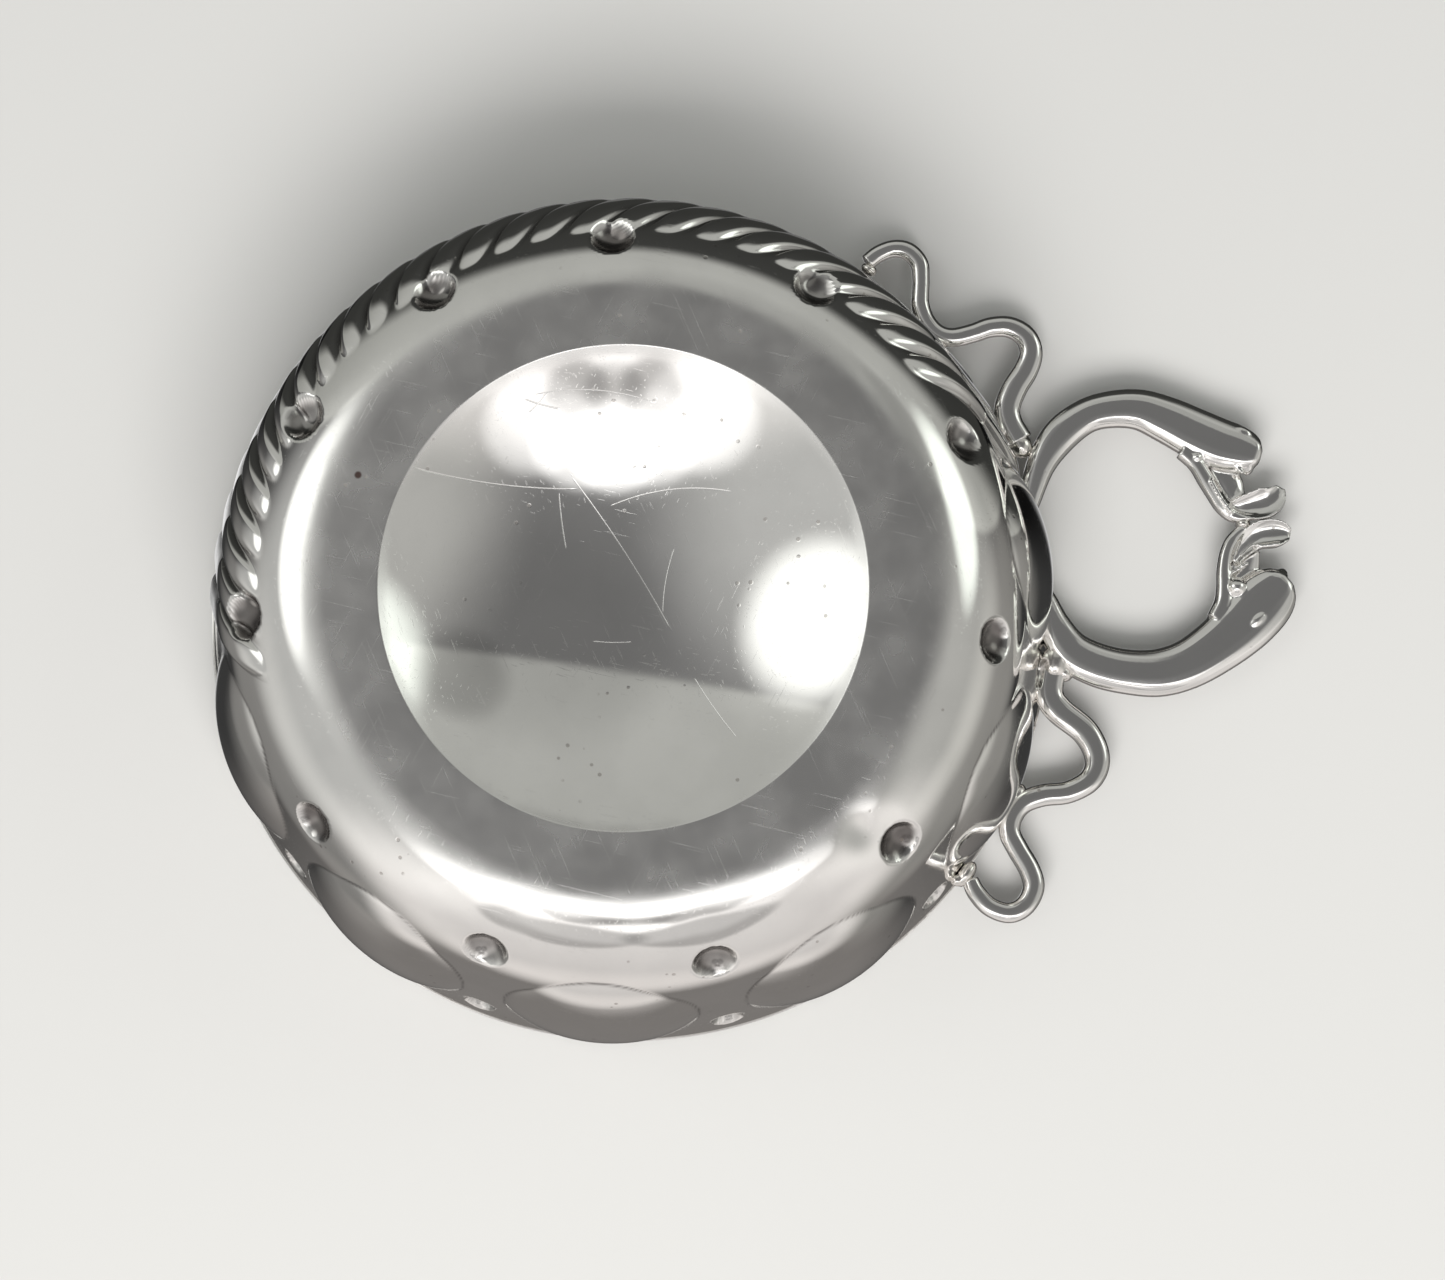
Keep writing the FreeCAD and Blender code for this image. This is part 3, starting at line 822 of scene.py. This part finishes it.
def build_bowl(material):
    """The raised sheet: outside, rolled lip and inside as one closed skin."""
    angles, lean = column_angles(*COLUMNS)
    rings, blocks = [], []

    def add(block):
        for row in block:
            start = sum(rings[-1]) if rings else 0
            rings.append((start, len(row)))
        blocks.append(block.reshape(-1, 4))

    # outside, from the dome's crown to the lip
    outer = profile_rows(*OUTER_ROWS)
    add(np.array([[[0.0, 0.0, DOME_RISE, 0.0]]]))
    dome, _ = raised_rows(outer[:DOME_ROWS], angles[::4], lean[::4])
    add(dome)
    skin, _ = raised_rows(outer[DOME_ROWS:], angles, lean)
    roll_foot = HEIGHT - ROLL_HEIGHT
    skin[-1, :, 2] = roll_foot
    add(skin)
    # rolled lip, over the top
    inner = profile_rows(*INNER_ROWS)
    inside, outward = raised_rows(inner, angles[::2], lean[::2])
    inside = inside - outward * WALL
    inside[-1, :, 2] = roll_foot
    out_half = skin[-1, ::2]
    middle = (out_half + inside[-1]) / 2
    roll = []
    for k in range(1, ROLL_ROWS + 1):
        a = math.pi * k / (ROLL_ROWS + 1)
        row = middle + (out_half - middle) * math.cos(a)
        row[:, 2] = roll_foot + ROLL_HEIGHT * math.sin(a)
        roll.append(row)
    add(np.array(roll))
    # inside, back down to the dome
    add(inside[::-1][:-INNER_DOME_ROWS])
    dome, outward = raised_rows(inner[:INNER_DOME_ROWS], angles[::8], lean[::8])
    add((dome - outward * WALL)[::-1])
    add(np.array([[[0.0, 0.0, DOME_RISE + WALL, 0.0]]]))
    points = np.concatenate(blocks)
    bowl = new_piece("bowl_sheet", points[:, :3], stitched(rings), material, "silver_sheet")
    # tarnish and painted shade per point, read by the silver material
    tarnish_and_shade = bowl.data.attributes.new("tarnish_and_shade", "FLOAT", "POINT")
    tarnish_and_shade.data.foreach_set("value", points[:, 3].astype(np.float32))
    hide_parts("bowl")


# ------------------------------------------------------------------ handle
UNDERSIDE = 22.4              # filed underside of the castings above the standing plane
ARM_THICKNESS = 3.2
JAW_THICKNESS = 2.7
TAIL_THICKNESS = 2.3
TAIL_UNDERSIDE = UNDERSIDE + 0.45
THINNEST = 0.15               # least width and thickness of a strand's end
STRAND_STEP = 0.3             # between two rings of a strand
SECTION_POINTS = 20
FILED_DEPTH = 0.80            # a casting's filed side against its round top
FILED_SQUARE = 3.6            # how squarely the filed side meets the edges
THIN_LIFT = 0.35              # share of its missing thickness that a thin stretch lacks underneath
VOXEL = 0.13                  # grain of the castings' skin before it is smoothed
SOFTEN_ROUNDS = 4
# tails: x, y and width
TAIL_LEFT = [
    (41.2, 11.3, 2.9), (40.2, 14.3, 2.9), (40.9, 16.2, 2.9), (43.1, 18.8, 2.8), (43.8, 21.5, 2.6),
    (42.8, 23.5, 2.4), (40.4, 24.4, 2.3), (37.8, 24.3, 2.3), (35.7, 24.7, 2.3), (34.4, 25.9, 2.2),
    (33.9, 27.4, 2.2), (34.4, 29.2, 2.2), (35.2, 31.4, 2.2), (35.3, 33.2, 2.2), (34.2, 34.8, 2.1),
    (32.5, 35.3, 2.1), (30.7, 34.4, 2.0), (29.6, 32.8, 1.9), (29.2, 31.4, 1.7),
]
TAIL_RIGHT = [
    (41.7, -11.3, 2.8), (41.0, -13.4, 2.7), (41.1, -15.0, 2.7), (42.2, -16.8, 2.6), (43.6, -18.4, 2.5),
    (44.4, -20.1, 2.4), (44.1, -21.8, 2.3), (42.7, -23.0, 2.2), (40.8, -23.3, 2.1), (38.9, -23.0, 2.0),
    (36.8, -22.9, 2.0), (35.4, -23.6, 1.9), (34.5, -25.0, 1.9), (34.2, -26.6, 1.9), (34.4, -27.8, 1.8),
    (34.7, -29.3, 1.8), (34.8, -31.0, 1.9), (33.9, -32.4, 1.9), (32.5, -32.9, 1.8), (30.9, -32.6, 1.8),
    (29.6, -31.9, 1.7),
]
# lumps of solder: middle, radii and turn in degrees
SOLDER_ROOT = [
    ((41.3, 11.4, 23.6), (1.5, 1.9, 1.1), 20),
    ((42.0, 12.6, 23.9), (1.0, 0.9, 1.0), 0),
    ((40.6, 13.0, 23.9), (0.9, 1.2, 0.9), 60),
    ((41.7, -10.9, 23.8), (1.2, 1.4, 1.0), -20),
]
SOLDER_BEND = [
    ((35.3, 23.9, 23.9), (0.9, 1.3, 0.9), 30),
    ((35.3, -22.6, 23.9), (0.7, 1.1, 0.8), -30),
]
SOLDER_TIP = [
    ((28.9, 30.8, 23.7), (1.5, 0.8, 0.9), -45),
    ((27.9, 31.3, 23.5), (0.7, 0.6, 0.6), 0),
    ((29.7, -31.2, 23.9), (0.9, 0.6, 0.8), 40),
]
SOLDER_JAW = [((62.3, 0.7, 23.6), (0.8, 0.7, 0.9), 20)]


def smooth_line(points, step):
    """Points about a step apart on a smooth curve through the rows; other columns are carried along."""
    rows = np.asarray(points, dtype=float)
    padded = np.vstack([2 * rows[0] - rows[1], rows, 2 * rows[-1] - rows[-2]])
    out = []
    for p0, p1, p2, p3 in zip(padded, padded[1:], padded[2:], padded[3:]):
        count = max(2, int(np.linalg.norm((p2 - p1)[:2]) / step))
        for t in np.arange(count) / count:
            out.append(0.5 * (2 * p1 + (p2 - p0) * t + (2 * p0 - 5 * p1 + 4 * p2 - p3) * t ** 2
                              + (3 * p1 - p0 - 3 * p2 + p3) * t ** 3))
    out.append(rows[-1])
    return np.array(out)


def section(kind):
    """Closed outline across a strand: x runs from -1 to 1 and z from 0, at the underside, to 1."""
    t = np.arange(SECTION_POINTS) * 2 * np.pi / SECTION_POINTS
    x, z = np.cos(t), np.sin(t)
    if kind == "cast":        # round on top, filed nearly flat underneath
        filed = -FILED_DEPTH * np.sqrt(np.clip(1 - np.abs(x) ** FILED_SQUARE, 0, 1))
        return x, (np.where(z < 0, filed, z) + FILED_DEPTH) / (1 + FILED_DEPTH)
    if kind == "round":
        return x, (z + 1) / 2
    # leaf: a shallow trough underneath between two raised edges
    trough = 0.55 * (1 - np.abs(x) ** 2.4)
    return x, np.where(z < 0, trough + 0.10 * z + 0.05, 1.0 - 0.25 * x ** 2)


def strand(rows, kind="cast"):
    """Vertices and faces of a swept strand; a row holds x, y, width, underside, thickness."""
    line = smooth_line(rows, STRAND_STEP)
    along = np.gradient(line[:, :2], axis=0)
    along /= np.linalg.norm(along, axis=1)[:, None]
    across = np.stack([along[:, 1], -along[:, 0]], axis=1)
    sx, sz = section(kind)
    rings = []
    for (x, y, width, low, thick), side in zip(line, across):
        ring = np.zeros((len(sx), 3))
        ring[:, :2] = np.array([x, y]) + side[None, :] * (sx * max(width, THINNEST) / 2)[:, None]
        ring[:, 2] = low + sz * max(thick, THINNEST)
        rings.append(ring)
    count = len(sx)
    vertices = np.concatenate(rings)
    faces = []
    for k in range(len(rings) - 1):
        a, b = k * count, (k + 1) * count
        faces += [(a + i, a + (i + 1) % count, b + (i + 1) % count, b + i) for i in range(count)]
    faces.append(tuple(range(count))[::-1])
    faces.append(tuple(range((len(rings) - 1) * count, len(rings) * count)))
    return vertices, faces


def drop(centre, radii, turn=0.0, count=14):
    """Vertices and faces of a small egg-shaped lump, turned about the vertical by degrees."""
    c, s = math.cos(math.radians(turn)), math.sin(math.radians(turn))
    vertices = [(0, 0, -1)]
    for k in range(1, count):
        a = math.pi * k / count - math.pi / 2
        vertices += [(math.cos(a) * math.cos(b), math.cos(a) * math.sin(b), math.sin(a))
                     for b in np.arange(count) * 2 * math.pi / count]
    vertices.append((0, 0, 1))
    v = np.array(vertices) * np.array(radii)
    v[:, :2] = v[:, :2] @ np.array([[c, s], [-s, c]])
    faces = [(0, 1 + (i + 1) % count, 1 + i) for i in range(count)]
    for k in range(count - 2):
        a = 1 + k * count
        b = a + count
        faces += [(a + i, a + (i + 1) % count, b + (i + 1) % count, b + i) for i in range(count)]
    last = len(vertices) - 1
    a = last - count
    faces += [(a + i, a + (i + 1) % count, last) for i in range(count)]
    return v + np.array(centre), faces


def joined(parts):
    """One list of vertices and faces from several."""
    vertices, faces, start = [], [], 0
    for v, f in parts:
        vertices.append(v)
        faces += [tuple(i + start for i in face) for face in f]
        start += len(v)
    return np.concatenate(vertices), faces


def cast(name, parts, material, slot_name, node_name):
    """The parts melted into one skin and softened, as a casting is."""
    piece = new_piece(name, *joined(parts), material, slot_name)
    remesh = piece.modifiers.new("melt", "REMESH")
    remesh.mode = "VOXEL"
    remesh.voxel_size = VOXEL * MM
    soften = piece.modifiers.new("soften", "SMOOTH")
    soften.factor = 0.5
    soften.iterations = SOFTEN_ROUNDS
    graph = bpy.context.evaluated_depsgraph_get()
    mesh = bpy.data.meshes.new_from_object(piece.evaluated_get(graph))
    piece.modifiers.clear()
    piece.data = mesh
    mesh.shade_smooth()
    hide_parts(node_name)


def level_rows(points, low=UNDERSIDE, thick=ARM_THICKNESS, flatten=0.30):
    """Rows of a strand from x, y and width; a narrow stretch is thinner too.

    flatten is the share of the thickness that a stretch without width would keep.
    """
    rows = []
    for x, y, width in points:
        share = min(1.0, flatten + (1 - flatten) * width / thick)
        rows.append((x, y, width, low + THIN_LIFT * thick * (1 - share), thick * share))
    return rows


def bead_row(points, radius, low):
    """Row of small lumps, the hatching along a lip of the mouth."""
    line = smooth_line(points, 1.5 * radius)
    return [drop((x, y, low), (radius, radius, radius), count=8) for x, y in line]


def left_arm(material):
    """The serpent on the side of the bosses, with the ball in its mouth."""
    low = UNDERSIDE
    neck = [
        (41.2, 3.0, 1.2), (41.4, 5.0, 2.4), (41.9, 7.8, 3.4), (43.1, 10.5, 4.2), (45.4, 12.3, 4.5),
        (48.3, 13.5, 4.6), (51.4, 14.1, 4.9), (54.5, 13.7, 5.1), (57.8, 12.3, 5.6), (60.6, 10.6, 6.2),
        (62.8, 8.9, 6.3), (64.3, 7.8, 5.4), (65.2, 7.2, 4.0), (65.7, 6.9, 2.2),
    ]
    jaw = [
        (57.9, 9.8, 2.0), (58.9, 8.4, 2.0), (59.3, 6.8, 1.7), (59.6, 4.9, 1.5), (60.2, 3.2, 1.4),
        (61.1, 2.0, 1.3), (62.3, 1.1, 0.9),
    ]
    floor = [
        (60.6, 7.4, 2.4, low + 1.3, 1.5),
        (61.4, 5.6, 3.2, low + 1.4, 1.4),
        (62.2, 4.2, 2.8, low + 1.4, 1.3),
        (63.0, 3.2, 1.6, low + 1.2, 1.2),
    ]
    leaf = [
        (60.7, 4.3, 1.2, low + 0.5, 1.5),
        (62.0, 3.0, 2.2, low + 0.3, 1.5),
        (63.5, 2.2, 2.8, low + 0.15, 1.5),
        (65.1, 2.2, 3.0, low + 0.1, 1.4),
        (66.2, 2.4, 2.3, low + 0.2, 1.2),
        (66.8, 2.6, 1.2, low + 0.5, 0.8),
    ]
    ball = drop((60.5, 7.0, low + 0.75), (1.08, 1.05, 1.0))
    snout = drop((65.1, 6.6, low + 1.2), (0.7, 0.9, 0.9), 30)
    eye = drop((61.9, 10.6, low + 0.33), (1.3, 0.6, 0.5), -32)
    parts = [strand(level_rows(neck)), strand(level_rows(jaw, low, JAW_THICKNESS))]
    parts += [strand(floor, "round"), strand(leaf, "leaf"), ball, snout, eye]
    parts += bead_row([(59.7, 5.7), (61.9, 4.8)], 0.27, low + 0.65)
    parts += bead_row([(61.5, 3.9), (62.6, 3.1), (64.0, 3.3), (65.3, 3.3)], 0.20, low + 0.4)
    cast("serpent_left", parts, material, "cast_silver", "serpent_arm_left")


def right_arm(material):
    """The serpent on the side of the flutes, with a hatched lower jaw."""
    low = UNDERSIDE
    neck = [
        (41.2, -3.2, 1.2), (41.7, -5.2, 2.2), (43.4, -8.6, 3.0), (45.8, -11.2, 3.7), (48.6, -12.7, 3.6),
        (51.2, -13.0, 3.8), (54.1, -12.5, 4.2), (56.7, -11.0, 4.8), (59.2, -9.2, 5.2), (61.3, -7.8, 5.3),
        (62.9, -7.0, 5.0), (64.2, -6.3, 4.2), (64.9, -5.9, 3.0), (65.3, -5.7, 1.4),
    ]
    jaw = [
        (57.6, -7.6, 1.8), (58.7, -6.1, 1.7), (59.4, -4.4, 1.8), (60.0, -2.9, 1.8), (60.6, -1.4, 1.7),
        (61.4, -0.3, 1.4), (62.6, 0.2, 0.9), (63.8, 0.2, 0.5),
    ]
    floor = [
        (59.9, -5.4, 2.0, low + 1.3, 1.5),
        (61.4, -4.2, 3.2, low + 1.4, 1.4),
        (61.9, -2.6, 2.8, low + 1.4, 1.3),
        (62.4, -1.4, 1.8, low + 1.2, 1.2),
    ]
    leaf = [
        (61.0, -1.0, 1.2, low + 0.5, 1.5),
        (62.6, -0.9, 2.4, low + 0.2, 1.5),
        (64.3, -0.9, 3.2, low + 0.1, 1.5),
        (65.5, -1.2, 3.0, low + 0.1, 1.3),
        (66.2, -1.7, 2.2, low + 0.25, 1.0),
        (66.7, -2.3, 1.0, low + 0.5, 0.7),
    ]
    tooth = drop((58.9, -6.6, low + 0.55), (0.55, 0.5, 0.5))
    snout = drop((63.9, -4.9, low + 1.3), (0.6, 0.9, 0.9), 30)
    brow = drop((64.0, -8.4, low + 0.6), (1.0, 0.5, 0.5), 40)
    parts = [strand(level_rows(neck)), strand(level_rows(jaw, low, JAW_THICKNESS))]
    parts += [strand(floor, "round"), strand(leaf, "leaf"), tooth, snout, brow]
    parts += bead_row([(60.1, -6.5), (61.6, -6.0), (62.4, -5.3), (63.1, -4.4)], 0.25, low + 0.5)
    parts += bead_row([(59.9, -3.9), (60.5, -2.2), (61.2, -0.7)], 0.24, low + 0.2)
    cast("serpent_right", parts, material, "cast_silver", "serpent_arm_right")


def build_handle(material, solder):
    """Serpents, tails and the solder that joins them."""
    left_arm(material)
    right_arm(material)
    for name, node_name, points in (("tail_wave_left", "tail_left", TAIL_LEFT),
                                    ("tail_wave_right", "tail_right", TAIL_RIGHT)):
        rows = level_rows(points, TAIL_UNDERSIDE, TAIL_THICKNESS, 0.55)
        cast(name, [strand(rows)], material, "cast_silver", node_name)
    for name, node_name, lumps in (("solder_root", "ring_root_solder", SOLDER_ROOT),
                                   ("solder_bend", "tail_bend_solder", SOLDER_BEND),
                                   ("solder_tip", "tail_tip_solder", SOLDER_TIP),
                                   ("solder_jaw", "jaw_solder", SOLDER_JAW)):
        cast(name, [drop(*lump) for lump in lumps], solder, "silver_solder", node_name)


build_bowl(SILVER)
build_handle(CAST, SOLDER)
